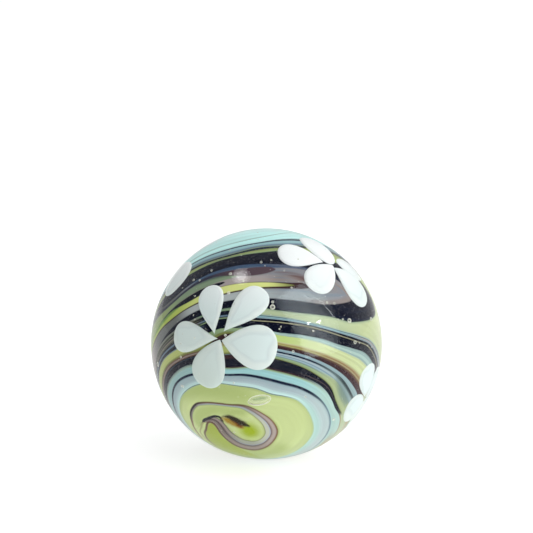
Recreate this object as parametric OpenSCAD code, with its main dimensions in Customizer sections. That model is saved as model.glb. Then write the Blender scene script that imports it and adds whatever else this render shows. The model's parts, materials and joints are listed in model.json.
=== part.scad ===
// Glass marble: one solid ball of fused glass.
// The origin is the ball's centre and +Z is up as it is shown.

/* [Marble] */
// Diameter of the finished ball
marble_d = 22; // [14:0.5:50]

/* [Hidden] */
// Facets round the ball on screen; its surface is a true sphere
facets = 180;
// Average of the lime, aqua, black and white glass seen from outside
glass_mix = [0.60, 0.66, 0.55];

// The core, the flowers and the clear outer gather are melted into one body,
// so they share one surface and one solid.
module marble() {
    color(glass_mix)
        sphere(d = marble_d, $fn = facets);
}

marble();
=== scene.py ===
import json
import math

import bmesh
import bpy
import numpy as np
from mathutils import Matrix, Quaternion, Vector

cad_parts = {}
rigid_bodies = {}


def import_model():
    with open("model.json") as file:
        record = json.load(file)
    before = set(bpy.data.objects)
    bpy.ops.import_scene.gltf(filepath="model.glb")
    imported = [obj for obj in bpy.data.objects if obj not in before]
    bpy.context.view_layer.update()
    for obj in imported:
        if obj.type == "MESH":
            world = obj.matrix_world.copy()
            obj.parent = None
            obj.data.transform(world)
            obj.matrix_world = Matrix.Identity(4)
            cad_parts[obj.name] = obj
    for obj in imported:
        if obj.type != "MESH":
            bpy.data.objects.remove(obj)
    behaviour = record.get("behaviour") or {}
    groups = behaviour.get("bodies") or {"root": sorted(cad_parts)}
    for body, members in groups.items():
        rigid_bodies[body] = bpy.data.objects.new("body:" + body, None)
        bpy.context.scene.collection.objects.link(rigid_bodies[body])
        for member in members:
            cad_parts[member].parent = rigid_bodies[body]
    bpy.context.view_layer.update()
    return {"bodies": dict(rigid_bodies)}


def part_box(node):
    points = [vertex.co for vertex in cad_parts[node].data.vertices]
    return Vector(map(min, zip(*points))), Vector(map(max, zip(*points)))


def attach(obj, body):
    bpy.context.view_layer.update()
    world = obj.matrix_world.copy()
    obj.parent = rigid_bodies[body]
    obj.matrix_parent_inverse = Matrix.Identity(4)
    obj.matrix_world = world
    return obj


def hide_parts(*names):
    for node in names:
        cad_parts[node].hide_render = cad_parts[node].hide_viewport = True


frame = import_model()

# ---- Clear gather ----
# The last dip in clear glass, a thin skin closed over the pattern and turned true in a wet mould.
# It is melted to the core, so it is one body with all that lies in it, and stands for the whole ball.

ball_low, ball_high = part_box("marble")
ball_radius = (ball_high.x - ball_low.x) / 2
ball_body = next(iter(frame["bodies"]))
GLASS_IOR = 1.5
COLOURLESS = (1.0, 1.0, 1.0, 1.0)
SHINE_TINT = (0.3, 0.3, 0.3, 1.0)
CLEAR_SEGMENTS = 256
CLEAR_RINGS = 128


class Wire:
    """One socket of a node tree. Arithmetic on it adds the Math nodes that work it out."""

    def __init__(self, tree, socket):
        self.tree = tree
        self.socket = socket

    def other(self, name):
        """Another result of the node that this wire leaves."""
        return Wire(self.tree, pick(self.socket.node.outputs, name))

    def maths(self, operation, first, second=0.0):
        return self.tree.node("ShaderNodeMath", {"operation": operation}, {0: first, 1: second})

    def __add__(self, other):
        return self.maths("ADD", self, other)

    def __sub__(self, other):
        return self.maths("SUBTRACT", self, other)

    def __rsub__(self, other):
        return self.maths("SUBTRACT", other, self)

    def __mul__(self, other):
        return self.maths("MULTIPLY", self, other)

    def __truediv__(self, other):
        return self.maths("DIVIDE", self, other)

    def __abs__(self):
        return self.maths("ABSOLUTE", self)

    __radd__ = __add__
    __rmul__ = __mul__


class Tree:
    """A node tree being wired up, for a glass's finish or for a shape made by rule."""

    def __init__(self, node_tree):
        self.node_tree = node_tree
        self.node_tree.nodes.clear()

    def node(self, kind, settings=None, sockets=None, result=0):
        """Adds a node, its settings first, then a value or a wire to each socket, and gives a result."""
        made = self.node_tree.nodes.new(kind)
        for name, value in (settings or {}).items():
            if name == "stops":
                set_stops(made.color_ramp, value)
            else:
                setattr(made, name, value)
        for key, value in (sockets or {}).items():
            socket = pick(made.inputs, key)
            if isinstance(value, Wire):
                self.node_tree.links.new(value.socket, socket)
            else:
                socket.default_value = value
        return Wire(self, pick(made.outputs, result)) if made.outputs else None


def pick(sockets, key):
    """A socket by its number, its identifier or its name, among those in use."""
    if isinstance(key, int):
        return sockets[key]
    return next(socket for socket in sockets if socket.enabled and key in (socket.identifier, socket.name))


def set_stops(ramp, stops):
    """Gives a colour ramp its stops, each a place from 0 to 1 and a colour."""
    while len(ramp.elements) < len(stops):
        ramp.elements.new(1.0)
    for element, (place, colour) in zip(ramp.elements, stops):
        element.position = place
        element.color = colour


def new_glass(name):
    """A material with an empty node tree, and that tree."""
    material = bpy.data.materials.new(name)
    material.use_nodes = True
    return material, Tree(material.node_tree)


def see_through(tree, surface):
    """Finishes a clear glass: light on its way to the core passes straight in, as nothing shades it."""
    path = tree.node("ShaderNodeLightPath", result="Is Shadow Ray")
    lamp_light = path.maths("MAXIMUM", path, path.other("Is Diffuse Ray"))
    open_way = tree.node("ShaderNodeBsdfTransparent")
    both = tree.node("ShaderNodeMixShader", None, {0: lamp_light, 1: surface, 2: open_way})
    tree.node("ShaderNodeOutputMaterial", None, {"Surface": both})


def new_shape(name, inputs):
    """An empty geometry tree with named inputs, and the wire that brings them."""
    group = bpy.data.node_groups.new(name, "GeometryNodeTree")
    for label, kind in inputs.items():
        group.interface.new_socket(label, in_out="INPUT", socket_type="NodeSocket" + kind)
    group.interface.new_socket("Geometry", in_out="OUTPUT", socket_type="NodeSocketGeometry")
    tree = Tree(group)
    return group, tree, tree.node("NodeGroupInput")


def finish_shape(tree, geometry, glass):
    """Ends a geometry tree: instances made real, smooth faces, one glass."""
    real = tree.node("GeometryNodeRealizeInstances", None, {"Geometry": geometry})
    smooth = tree.node("GeometryNodeSetShadeSmooth", None, {"Geometry": real})
    dipped = tree.node("GeometryNodeSetMaterial", None, {"Geometry": smooth, "Material": glass})
    tree.node("NodeGroupOutput", None, {"Geometry": dipped})


def ball_mesh(tree, segments, rings, radius):
    """A ball made by a geometry tree."""
    sizes = {"Segments": segments, "Rings": rings, "Radius": radius}
    return tree.node("GeometryNodeMeshUVSphere", None, sizes)


def shape_piece(name, group, values, start=None):
    """A plain mesh piece made by a geometry tree from the values of its named inputs."""
    piece = bpy.data.objects.new(name, start or bpy.data.meshes.new(name))
    bpy.context.scene.collection.objects.link(piece)
    modifier = piece.modifiers.new(name, "NODES")
    modifier.node_group = group
    for item in group.interface.items_tree:
        if item.name in values:
            modifier[item.identifier] = values[item.name]
    ready = piece.evaluated_get(bpy.context.evaluated_depsgraph_get())
    mesh = bpy.data.meshes.new_from_object(ready)
    piece.modifiers.clear()
    piece.data = mesh
    return piece


ball_inputs = {"Radius": "Float", "Segments": "Int", "Rings": "Int", "Lean": "Rotation", "Glass": "Material"}
ball_group, ball_tree, given = new_shape("turned_ball", ball_inputs)
round_mesh = ball_mesh(ball_tree, *(given.other(size) for size in ("Segments", "Rings", "Radius")))
leant = ball_tree.node(
    "GeometryNodeTransform", None, {"Geometry": round_mesh, "Rotation": given.other("Lean")}
)
finish_shape(ball_tree, leant, given.other("Glass"))

clear_glass, clear_tree = new_glass("clear_glass")
clear_surface = clear_tree.node(
    "ShaderNodeBsdfPrincipled",
    None,
    {
        "Base Color": COLOURLESS,
        "Roughness": 0.0,
        "IOR": GLASS_IOR,
        "Specular Tint": SHINE_TINT,
        "Transmission Weight": 1.0,
    },
)
see_through(clear_tree, clear_surface)

clear_gather = shape_piece(
    "clear_gather",
    ball_group,
    {
        "Radius": ball_radius,
        "Segments": CLEAR_SEGMENTS,
        "Rings": CLEAR_RINGS,
        "Glass": clear_glass,
    },
)
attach(clear_gather, ball_body)
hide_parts("marble")

# ---- Stirred core ----
# The heart of the ball: lime, aqua, lavender, navy and black glass laid in bands and stirred hot round
# one eye. The bands are rings round that eye, drawn out of true, with tongues of glass pushed in between
# them. The last dip in clear glass melts to it and holds it.

CORE_SHARE = 0.93
core_radius = ball_radius * CORE_SHARE
CORE_SEGMENTS = 280
CORE_RINGS = 345
EYE_BELOW = 28.6
EYE_LEFT = 4.2
TURN_START = -1.5
FULL_TURN = 360.0
HALF_TURN = 180.0
CURVE_STEPS = 24
POINT_BATCHES = 24

eye = Vector((
    -math.sin(math.radians(EYE_LEFT)) * math.cos(math.radians(EYE_BELOW)),
    -math.cos(math.radians(EYE_LEFT)) * math.cos(math.radians(EYE_BELOW)),
    -math.sin(math.radians(EYE_BELOW)),
))
straight_up = (Vector((0, 0, 1)) - eye * eye.z).normalized()
straight_right = straight_up.cross(eye)
turn_start = math.radians(TURN_START)
turn_up = np.array(straight_up * math.cos(turn_start) + straight_right * math.sin(turn_start))
turn_right = np.array(straight_right * math.cos(turn_start) - straight_up * math.sin(turn_start))
eye_way = np.array(eye)


def on_ball(turn, reach):
    """Unit vectors at degrees of turn round the eye, clockwise from up, and degrees of reach from it."""
    turn = np.radians(np.asarray(turn, float))[..., None]
    reach = np.radians(np.asarray(reach, float))[..., None]
    sideways = np.cos(turn) * turn_up + np.sin(turn) * turn_right
    return np.cos(reach) * eye_way + np.sin(reach) * sideways


def near_eye(right, up):
    """Turn and reach of a place so many degrees right of the eye and so many above it."""
    return math.degrees(math.atan2(right, up)), math.hypot(right, up)


core_glass, core_tree = new_glass("swirl_glass")
core = shape_piece(
    "stirred_core",
    ball_group,
    {
        "Radius": core_radius,
        "Segments": CORE_SEGMENTS,
        "Rings": CORE_RINGS,
        "Lean": eye.to_track_quat("Z", "Y").to_euler(),
        "Glass": core_glass,
    },
)
FRONT_HEIGHT = 15.0
BEND_ONE = 8.0
BEND_TWO = 1.03
BEND_PASSES = 6
NO_LENGTH = 1e-9
front = np.array([0.0, -math.cos(math.radians(FRONT_HEIGHT)), math.sin(math.radians(FRONT_HEIGHT))])


def bend(angle):
    """Degrees by which the clear glass moves a place so many degrees from the middle of the front view."""
    return BEND_ONE * np.sin(np.radians(angle)) - BEND_TWO * np.sin(2 * np.radians(angle))


def from_front(points):
    """Degrees of each unit vector from the middle of the front view."""
    return np.degrees(np.arccos(np.clip(points @ front, -1, 1)))


def set_from_front(points, angle):
    """Unit vectors brought straight to so many degrees from the middle of the front view."""
    sideways = points - (points @ front)[..., None] * front
    sideways /= np.maximum(np.linalg.norm(sideways, axis=-1), NO_LENGTH)[..., None]
    angle = np.radians(angle)[..., None]
    return np.cos(angle) * front + np.sin(angle) * sideways


def as_seen(points):
    """Where places on the core seem to lie, seen from the front through the clear glass."""
    angle = from_front(points)
    return set_from_front(points, angle - bend(angle))


def in_glass(points):
    """Where places that the finished ball shows really lie on the core."""
    seen = from_front(points)
    angle = seen
    for _ in range(BEND_PASSES):
        angle = seen + bend(angle)
    return set_from_front(points, angle)


core_points = np.array([vertex.co for vertex in core.data.vertices])
core_points /= np.linalg.norm(core_points, axis=1)[:, None]
core_points = as_seen(core_points)
core_reach = np.degrees(np.arccos(np.clip(core_points @ eye_way, -1, 1)))
core_turn = np.degrees(np.arctan2(core_points @ turn_right, core_points @ turn_up))


def keep_field(name, values):
    """Stores one number for each point of the core, for its glass to read."""
    field = core.data.attributes.new(name, "FLOAT", "POINT")
    field.data.foreach_set("value", np.asarray(values, np.float32))


def ring(*places):
    """Reach of one ring at each point of the core, drawn smoothly through places of turn and reach."""
    turns = np.array([turn for turn, reach in places], float)
    reaches = np.array([reach for turn, reach in places], float)
    start = turns[0]
    turns = np.concatenate([turns[-2:] - FULL_TURN, turns, turns[:2] + FULL_TURN])
    reaches = np.concatenate([reaches[-2:], reaches, reaches[:2]])
    slopes = np.gradient(reaches, turns)
    turn = (core_turn - start) % FULL_TURN + start
    low = np.searchsorted(turns, turn, side="right") - 1
    span = turns[low + 1] - turns[low]
    part = (turn - turns[low]) / span
    rise = reaches[low + 1] - reaches[low]
    bend_low = slopes[low] * span - rise
    bend_high = rise - slopes[low + 1] * span
    return reaches[low] + part * rise + part * (1 - part) * ((1 - part) * bend_low + part * bend_high)


# Each ring's places run clockwise. Those past 125 degrees lie on the far side, where the bands close up,
# and the last rings are ovals, so that the second pool, opposite the eye, is drawn out as the first is.
rings = [
    ring((-90, 42), (-75, 39.5), (-60, 36.3), (-40, 30.5), (-20, 25.4), (0, 23), (20, 21.2), (35, 22.2),
         (50, 24), (80, 25), (110, 27), (140, 28.5), (180, 33), (225, 39)),
    ring((-90, 47), (-70, 45), (-55, 41), (-40, 35.7), (-27, 32), (-10, 30), (10, 28.2), (25, 28),
         (45, 29.6), (70, 32.2), (100, 35), (125, 37), (160, 40), (200, 44), (235, 47)),
    ring((-90, 51.8), (-70, 48.5), (-50, 44), (-35, 38.4), (-24, 34.9), (0, 33.3), (20, 32.6), (40, 33.7),
         (60, 35.6), (78, 36.5), (86, 37), (96, 39.5), (110, 42), (150, 46), (200, 50), (235, 52)),
    ring((-90, 54), (-70, 51.3), (-50, 46.8), (-35, 42.3), (-20, 38.5), (0, 38), (25, 37.7), (45, 38.2),
         (65, 39.1), (80, 38.4), (90, 39.6), (98, 41.6), (110, 43.5), (150, 48), (200, 52), (235, 54.3)),
    ring((-90, 54.8), (-70, 52.6), (-50, 47.8), (-35, 44.6), (-20, 43), (0, 41.2), (15, 40.7), (30, 41.3),
         (50, 43.2), (65, 45), (80, 46.5), (95, 49), (110, 50), (150, 52), (200, 54), (235, 55.2)),
    ring((-90, 55.2), (-70, 53), (-50, 48.3), (-35, 45.5), (-20, 46.8), (0, 43.5), (15, 42.3), (30, 43),
         (45, 44.4), (60, 46.6), (75, 49.2), (90, 52), (110, 53), (150, 55), (200, 56), (235, 56)),
    ring((-90, 56.4), (-70, 54.4), (-50, 49.5), (-35, 46.4), (-20, 49.4), (0, 45.8), (15, 43.9), (30, 44.6),
         (45, 46.4), (60, 49.4), (75, 52.6), (90, 55.5), (110, 57), (150, 58), (200, 58), (235, 57.4)),
    ring((-90, 60.5), (-70, 58.6), (-50, 54), (-35, 52.6), (-20, 52.4), (0, 49.5), (15, 48.4), (30, 50),
         (40, 51.6), (50, 53.5), (60, 56.2), (70, 59.8), (80, 62.6), (110, 65), (150, 65), (200, 63),
         (235, 61.5)),
    ring((-90, 61), (-70, 59.2), (-50, 55), (-35, 53), (-20, 52.9), (0, 50.2), (15, 49.4), (30, 51.4),
         (40, 53.4), (50, 55.6), (60, 59.6), (70, 64.4), (80, 67.2), (110, 69), (150, 68), (200, 65),
         (235, 62.5)),
    ring((-90, 63), (-70, 60.8), (-50, 57.5), (-35, 57), (-20, 56.6), (0, 53.8), (15, 54.1), (30, 55.8),
         (40, 57.5), (50, 60), (60, 63.7), (70, 68.3), (80, 70.3), (110, 72), (150, 71), (200, 67),
         (235, 64.5)),
    ring((-90, 66.5), (-75, 65.5), (-60, 64), (-45, 62), (-30, 60.6), (-15, 59.8), (0, 57.2), (15, 56.9),
         (30, 58.1), (40, 60), (50, 63), (60, 67.6), (70, 72.6), (80, 75.5), (110, 77), (150, 75),
         (200, 70), (235, 67.5)),
    ring((-90, 88.5), (-60, 90), (-35, 89.8), (-10, 90.5), (0, 92.6), (8, 94.8), (20, 99), (38, 107),
         (60, 109), (90, 104), (125, 98), (180, 92), (230, 88.5)),
    ring((-90, 90.5), (-60, 91.8), (-35, 91.6), (-10, 92), (0, 94.8), (8, 96.6), (20, 101), (38, 109.5),
         (60, 112), (90, 107), (125, 101), (180, 95), (230, 91)),
    ring((-90, 95), (-60, 95.6), (-35, 95.4), (-15, 95.8), (0, 98.5), (10, 102.4), (18, 105.7), (38, 113),
         (60, 116), (90, 112), (125, 106), (180, 100), (230, 96)),
    ring((-90, 100), (-60, 99.4), (-35, 99.3), (-20, 100.1), (-10, 101), (-5, 102.2), (0, 104), (5, 106.8),
         (10, 111), (18, 118), (38, 125), (60, 126), (90, 121), (125, 113), (180, 106), (230, 102)),
    ring((-90, 118), (-45, 126), (0, 131), (45, 132), (90, 129), (135, 124), (180, 119), (225, 116)),
    ring((-90, 126), (-45, 130), (0, 136), (45, 140), (90, 136), (135, 129), (180, 127), (225, 127)),
    ring((-90, 131), (-45, 133), (0, 142), (45, 148), (90, 142), (135, 132), (180, 131), (225, 133)),
    ring((-90, 138), (-45, 137), (0, 148), (45, 158), (90, 150), (135, 137), (180, 138), (225, 143)),
]
ladder = [np.zeros_like(core_reach), *rings, np.full_like(core_reach, HALF_TURN)]
strand = sum(
    np.clip((core_reach - near) / (far - near), 0, 1) for near, far in zip(ladder, ladder[1:])
) - 1
keep_field("strand", strand)

NARROW_LEFT = (-95, -60)
NARROW_RIGHT = (60, 100)
BEHIND_LEFT = (100, 125)
BEHIND_RIGHT = (93, 99)
LOW_LEFT = (120, 140)
LOW_RIGHT = (112, 132)
SIDE_ENDS = (150, 176)


def ramp_up(value, low, high):
    """0 below low, 1 above high, and a smooth rise between."""
    part = np.clip((value - low) / (high - low), 0, 1)
    return part * part * (3 - 2 * part)


keep_field("in_front", ramp_up(core_turn, *NARROW_LEFT) - ramp_up(core_turn, *NARROW_RIGHT))
keep_field("behind", ramp_up(core_turn, *BEHIND_RIGHT) + ramp_up(-core_turn, *BEHIND_LEFT))
keep_field("low_side", ramp_up(core_turn, *LOW_RIGHT) + ramp_up(-core_turn, *LOW_LEFT))
keep_field("side", core_turn * (1 - ramp_up(np.abs(core_turn), *SIDE_ENDS)))


def drawn_line(places, closed):
    """Points of a smooth line through places on the ball, with any further numbers kept beside them."""
    knots = np.array([[*on_ball(turn, reach), *more] for turn, reach, *more in places])
    if closed:
        knots = np.concatenate([knots[-1:], knots, knots[:2]])
    else:
        knots = np.concatenate([knots[:1], knots, knots[-1:]])
    part = np.arange(CURVE_STEPS)[:, None] / CURVE_STEPS
    runs = []
    for before, start, end, after in zip(knots, knots[1:], knots[2:], knots[3:]):
        bend_start = (end - before) / 2 - (end - start)
        bend_end = (end - start) - (after - start) / 2
        way = (1 - part) * bend_start + part * bend_end
        runs.append(start + part * (end - start) + part * (1 - part) * way)
    line = np.concatenate(runs if closed else [*runs, knots[-1:]])
    line[:, :3] /= np.linalg.norm(line[:, :3], axis=1)[:, None]
    return line


def beside(line, closed):
    """For each point of the core: degrees to the left of a line, and the line's nearest row of numbers."""
    points = line[:, :3]
    if closed:
        ahead = np.roll(points, -1, axis=0) - np.roll(points, 1, axis=0)
    else:
        ahead = np.gradient(points, axis=0)
    spacing = np.linalg.norm(ahead, axis=1)
    ahead /= spacing[:, None]
    leftward = np.cross(points, ahead)
    offsets = []
    nearest = []
    for batch in np.array_split(core_points, POINT_BATCHES):
        closest = np.argmax(batch @ points.T, axis=1)
        step = batch - points[closest]
        across = np.sum(step * leftward[closest], axis=1)
        past = np.abs(np.sum(step * ahead[closest], axis=1))
        past = np.maximum(past - spacing[closest], 0)
        offsets.append(np.degrees(np.copysign(np.hypot(across, past), across)))
        nearest.append(closest)
    return np.concatenate(offsets), line[np.concatenate(nearest)]


# Tongues and patches of glass, and patches of painted shade, each outline listed anticlockwise, out along
# its edge nearer the eye.
tongues = {
    "black_tongue": [
        (-150, 71), (-110, 68), (-85, 66.5), (-70, 65.5), (-60, 64.3), (-50, 62.8), (-40, 61.8),
        (-30, 61.2), (-18, 60.9), (-8, 60.5), (0, 60), (10, 59.2), (20, 59.8), (30, 61.8), (40, 64.8),
        (50, 68), (55, 71.3), (60, 75.8), (64, 80.2), (67, 84.5), (69, 89.5), (68.5, 94), (65, 97.5),
        (58, 99), (48, 98.8), (38, 98), (28, 97.5), (18, 95.5), (8, 92.2), (0, 90.2), (-10, 88.9),
        (-20, 88.2), (-35, 87.4), (-50, 87.6), (-65, 86.5), (-85, 84), (-110, 82), (-150, 78), (-160, 74.5),
    ],
    "lavender_tongue": [
        (-130, 66), (-110, 64.5), (-85, 64.5), (-66, 65.2), (-50, 65.1), (-40, 64.7), (-30, 64.4),
        (-15, 64.3), (0, 64.2), (10, 64.6), (20, 65.6), (28, 66.9), (34, 68.6), (40, 71.8), (45, 75.6),
        (48.3, 79.3), (47.5, 82), (44.5, 84.3), (40, 85.3), (34, 85.6), (25, 84.8), (15, 83.8), (8, 83),
        (0, 82.6), (-10, 82.4), (-20, 81.8), (-30, 80.9), (-40, 79.6), (-47, 79.3), (-54, 80.5), (-60, 83),
        (-66, 86.5), (-80, 88), (-110, 85), (-130, 80), (-145, 73),
    ],
    "maroon_finger": [
        (-75, 72), (-65, 70.8), (-57, 69.8), (-50, 68.6), (-40, 68), (-30, 67.6), (-15, 67.6), (0, 68.6),
        (10, 69.6), (18, 71), (23, 72.6), (25.5, 74.4), (22, 75.2), (16, 73.8), (8, 72.7), (0, 72.4),
        (-15, 72.2), (-25, 72), (-35, 71.6), (-50, 71.6), (-60, 72.8), (-70, 74), (-80, 74.5),
    ],
    "yellow_finger": [
        (-116, 78.6), (-100, 76.2), (-85, 74), (-75, 72.8), (-60, 70.9), (-50, 69.3), (-40, 68.6),
        (-30, 68.3), (-15, 68.3), (0, 69.4), (8, 70.3), (14, 71.4), (18.5, 73), (12, 72.6), (0, 72.1),
        (-15, 72), (-30, 71.7), (-40, 71.6), (-50, 72), (-60, 73.2), (-72, 75.5), (-85, 77.4), (-100, 78.8),
    ],
    "green_streak": [
        (-75, 75), (-65, 72.8), (-55, 71.9), (-45, 71.7), (-38, 72.3), (-45, 73), (-55, 73.4), (-65, 74.8),
        (-75, 76.6),
    ],
    "pointed_tongue": [
        (-56, 73.6), (-50, 73.1), (-45, 72.4), (-40, 71.4), (-35, 71), (-30, 71.2), (-22, 72.2),
        (-16, 73.6), (-16, 74.5), (-22, 74.6), (-30, 74.2), (-40, 73.8), (-50, 73.9),
    ],
    "sage_finger": [
        (-124, 81.5), (-105, 78.6), (-88, 75.8), (-75, 74), (-60, 74.2), (-45, 74.1), (-30, 74.4),
        (-20, 75), (-10, 75.9), (-3, 77.2), (-10, 77.8), (-20, 78.4), (-30, 78.2), (-40, 77.2), (-50, 77),
        (-58, 78.4), (-65, 80.5), (-75, 82), (-88, 82.6), (-105, 82.8),
    ],
    "maroon_tongue": [
        (-62, 81.5), (-57, 78.5), (-50, 77), (-45, 76.7), (-38, 77.3), (-30, 78.2), (-20, 78.4), (-12, 77),
        (-5, 75.8), (0, 76.1), (5, 77.5), (8.3, 79.7), (6, 81), (0, 80.7), (-8, 80.3), (-20, 80.2),
        (-30, 79.8), (-40, 78.4), (-47, 78), (-54, 79.5), (-60, 82.5),
    ],
    "shadow_wedge": [
        (64, 43.6), (70, 41.8), (77, 41), (84, 41.8), (90, 43.6), (88, 45.6), (80, 45.4), (72, 44.9),
    ],
    "mauve_flame": [
        (8, 78.3), (14, 77.2), (20, 76.6), (25, 77), (27, 78), (22, 79.4), (15, 79.8),
    ],
}
# Those close to the eye, by degrees to its right and degrees above it.
eye_tongues = {
    "lime_tongue": [
        (-22.5, 0.1), (-24.5, -2), (-26, -6), (-27.4, -11), (-27.6, -15), (-27, -18.5), (-25, -23),
        (-20, -29), (-8, -32), (0, -31), (-3, -25), (-7, -20), (-11, -16.5), (-14.5, -13), (-17.2, -9.5),
        (-18.8, -6), (-20, -3), (-21.3, -0.8),
    ],
    "pool_shade_top": [
        (-40, 8), (-30, 12), (-18, 15), (-6, 15.5), (0, 19), (-8, 26), (-22, 27), (-34, 21), (-43, 13),
    ],
    "pool_shade_low": [
        (-12, -27), (-2, -28), (8, -24), (13, -17), (9, -12), (2, -17), (-12, -20),
    ],
    "bubble_shade": [
        (-2.3, 17.3), (0.7, 16.7), (3.8, 17.2), (5.3, 18.4), (4.6, 19.1), (1.6, 19.4), (-1.1, 18.6),
    ],
    "loop_shade": [
        (-32.5, -6), (-30, -8), (-28, -4), (-26, 1), (-22, 5), (-16, 7.4), (-9, 7.6), (-5, 9), (-6, 12.6),
        (-12, 13), (-20, 12), (-27, 9), (-31.5, 4), (-33.5, -2),
    ],
    "glow_patch": [
        (-8.5, 0.5), (-8, -2.8), (-5, -5.4), (-1.2, -4.4), (0.4, -1), (-1.2, 2.6), (-4, 4.4), (-7.5, 3),
    ],
    "amber_patch": [
        (-16.8, 5.4), (-15.8, 3.8), (-13.4, 2.2), (-10.8, 1.4), (-8.4, 0.6), (-6.8, 0.8), (-6.8, 2.6),
        (-9, 4.6), (-11.9, 6.2), (-14.4, 6.6),
    ],
    "rust_patch": [
        (-12.4, 5.6), (-10.8, 3.6), (-9.2, 1.9), (-7.3, 1.2), (-7.6, 3), (-9, 5), (-11, 6.4),
    ],
    "eye_streak": [
        (-17, 5.7), (-15.6, 6), (-13.9, 5.8), (-11.9, 5.1), (-10.4, 4.1), (-8.9, 3), (-7.4, 2.5),
        (-6.2, 2.3), (-5, 2.3), (-4, 2.2), (-3.8, 3.1), (-5.2, 4.8), (-7.1, 6), (-9, 6.9), (-10.9, 7.4),
        (-12.9, 7.7), (-15, 7.5), (-16.4, 6.6),
    ],
}
for name, places in eye_tongues.items():
    tongues[name] = [near_eye(*place) for place in places]
for name, places in tongues.items():
    keep_field(name, beside(drawn_line(places, True), True)[0])

# The ribbon hooks round the eye: its places give degrees right, degrees up and half its width.
ribbon_places = [
    (-31.5, -21, 0.6), (-34.2, -12, 0.6), (-34.5, -6, 0.8), (-34.2, -1, 0.9), (-32.9, 3.6, 0.9),
    (-30, 8.3, 0.9), (-26.5, 10.6, 0.9), (-22, 12.3, 0.8), (-17, 13.2, 0.8), (-12, 13.6, 0.8),
    (-7.4, 13.8, 1.1), (-3.7, 12.6, 1.6), (0.5, 9.6, 2.0), (4.2, 5.3, 2.6), (5.9, 0.1, 3.0),
    (5.3, -4.3, 3.0), (2.4, -9.2, 3.4), (-1, -11.9, 4.2), (-4.5, -12.9, 4.8), (-9.4, -11.6, 4.5),
    (-13.4, -8, 3.9), (-16, -4.4, 3.4), (-17.9, -0.4, 3.0), (-19.8, 2, 2.6), (-22.2, 2.3, 2.0),
    (-24.6, 0.8, 1.3), (-26.6, -1, 0.6),
]
ribbon_line = drawn_line([(*near_eye(right, up), half) for right, up, half in ribbon_places], False)
ribbon_run = np.linspace(0, 1, len(ribbon_line))[:, None]
ribbon_line = np.concatenate([ribbon_line, ribbon_run], axis=1)
distance, nearest = beside(ribbon_line, False)
keep_field("ribbon_across", distance / nearest[:, 3])
keep_field("ribbon_run", nearest[:, 4])

thin_lines = {
    "tip_line": ((-27.2, -1.2), (-26, 0.8), (-24, 2.4), (-22, 4.2), (-20, 5.4), (-17.8, 5.4), (-16.8, 3.6)),
    "wisp_line": ((-26.4, -0.6), (-28, -3.6), (-29.1, -6.9), (-30.8, -12.9), (-29.9, -15.7), (-27.2, -20.4)),
    "hook_line": (
        (-19.6, -3), (-20.8, -0.8), (-22.6, 0.2), (-24.4, -0.6), (-25.4, -3), (-26.4, -7), (-27.8, -11),
        (-28, -15), (-27, -19.5), (-24.5, -24),
    ),
}
for name, places in thin_lines.items():
    line = drawn_line([near_eye(*place) for place in places], False)
    keep_field(name, beside(line, False)[0])


def linear(part):
    """Linear light of one colour value from a 0 to 255 chart, by the sRGB curve."""
    share = part / 255
    return share / 12.92 if share <= 0.04045 else ((share + 0.055) / 1.055) ** 2.4


def rod(red, green, blue):
    """A glass rod's colour, from a 0 to 255 colour chart."""
    return (linear(red), linear(green), linear(blue), 1.0)


lime_pale = rod(196, 210, 147)
lime_deep = rod(168, 185, 113)
lime_rich = rod(161, 176, 76)
lime_green = rod(112, 150, 70)
fresh_lime = rod(180, 204, 118)
yellow_lime = rod(198, 210, 157)
olive_yellow = rod(175, 186, 114)
pale_lime = rod(175, 189, 152)
cream_lime = rod(166, 180, 134)
olive_lime = rod(150, 168, 104)
yellow_bright = rod(216, 224, 141)
leaf_lime = rod(172, 190, 92)
dull_teal = rod(146, 172, 168)
dark_teal = rod(58, 74, 72)
aqua = rod(198, 229, 225)
soft_aqua = rod(172, 200, 192)
pale_aqua = rod(175, 208, 201)
cap_aqua = rod(193, 240, 237)
sky = rod(155, 201, 202)
pale_sky = rod(173, 203, 195)
white_lavender = rod(162, 180, 186)
blue_grey = rod(146, 172, 180)
teal_grey = rod(142, 182, 188)
steel = rod(104, 126, 144)
dim_blue = rod(64, 86, 114)
sage = rod(142, 166, 126)
moss = rod(128, 150, 122)
shadow_teal = rod(108, 132, 128)
sea_green = rod(104, 138, 126)
navy = rod(14, 26, 50)
black = rod(8, 13, 31)
grey_black = rod(34, 36, 44)
blue_black = rod(32, 42, 62)
maroon = rod(58, 38, 42)
plum = rod(84, 68, 76)
flame = rod(96, 70, 72)
brown = rod(104, 80, 66)
tan = rod(166, 156, 116)
dull_tan = rod(166, 164, 130)
dull_olive = rod(98, 102, 84)
rust_brown = rod(124, 84, 62)
rust = rod(148, 119, 82)
mauve = rod(110, 94, 92)
pink_grey = rod(164, 150, 144)
lilac = rod(158, 164, 176)
grey_mist = rod(140, 145, 150)
opal_grey = rod(174, 178, 163)
blue_white = rod(146, 157, 161)
mist = rod(184, 192, 191)
mist_aqua = rod(186, 203, 201)
ashen = rod(134, 134, 138)
slate = rod(89, 91, 89)
pink_pale = rod(176, 166, 164)
warm_grey = rod(140, 128, 122)
olive = rod(120, 128, 74)
amber = rod(158, 130, 50)
burnt = rod(110, 56, 26)
glow_green = rod(152, 172, 18)
smear_brown = rod(44, 38, 26)

STOPS_IN_RAMP = 14


def field_wire(tree, name):
    """A field kept with a piece's points, as its glass reads it."""
    return tree.node("ShaderNodeAttribute", {"attribute_name": name}, result="Fac")


def read_field(name):
    return field_wire(core_tree, name)


def smooth_step(value, low, high, start=0.0, end=1.0):
    """From start to end as a wire goes from low to high, with a soft edge between."""
    return value.tree.node(
        "ShaderNodeMapRange",
        {"interpolation_type": "SMOOTHSTEP"},
        {"Value": value, "From Min": low, "From Max": high, "To Min": start, "To Max": end},
    )


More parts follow.
